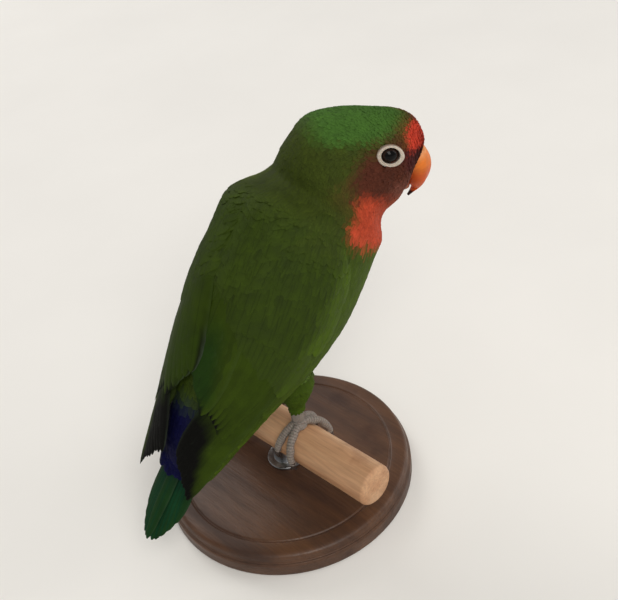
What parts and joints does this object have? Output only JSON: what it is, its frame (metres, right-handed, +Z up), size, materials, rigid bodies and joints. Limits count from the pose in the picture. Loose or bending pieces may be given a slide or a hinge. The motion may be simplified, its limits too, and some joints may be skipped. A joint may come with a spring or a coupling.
{
  "type": "lovebird figure",
  "caption": "Life-size still figure of a small short-tailed parrot gripping a short round wooden perch, held by a rod on a flat round base, for display.",
  "frame": {"origin": "centre of the round base's underside", "axes": "+X the way the body faces, +Y the bird's left side and along the perch, +Z up"},
  "size_m": [0.113, 0.08, 0.1154],
  "materials": {
    "plumage_body": "soft matte body feathers, olive green",
    "plumage_neck": "soft matte neck feathers, olive green to orange red at the throat",
    "plumage_head": "soft matte head feathers, green crown, red forehead, dark face",
    "plumage_wing": "satin wing feathers, green with blackish tips",
    "plumage_tail": "satin tail feathers, blue at the rump, teal green at the tip",
    "eye": "wet dark eye",
    "eye_ring_skin": "bare white skin",
    "bill_horn": "polished orange-red horn",
    "leg_plumage": "soft matte thigh feathers, green",
    "foot_skin": "scaly grey skin",
    "perch_wood": "bare pinkish-tan wood, smooth and dry",
    "stand_metal": "satin",
    "stand_wood": "dark stained wood, satin"
  },
  "bodies": {
    "root": {"torso": "plumage_body", "neck": "plumage_neck", "head": "plumage_head", "tail": "plumage_tail", "wing_left": "plumage_wing", "wing_right": "plumage_wing", "eye_left": "eye", "eye_right": "eye", "eye_ring_left": "eye_ring_skin", "eye_ring_right": "eye_ring_skin", "bill_upper": "bill_horn", "bill_lower": "bill_horn", "leg_left": "leg_plumage", "leg_right": "leg_plumage", "foot_left": "foot_skin", "foot_right": "foot_skin", "perch": "perch_wood", "stand_rod": "stand_metal", "stand_base": "stand_wood"}
  },
  "joints": []
}
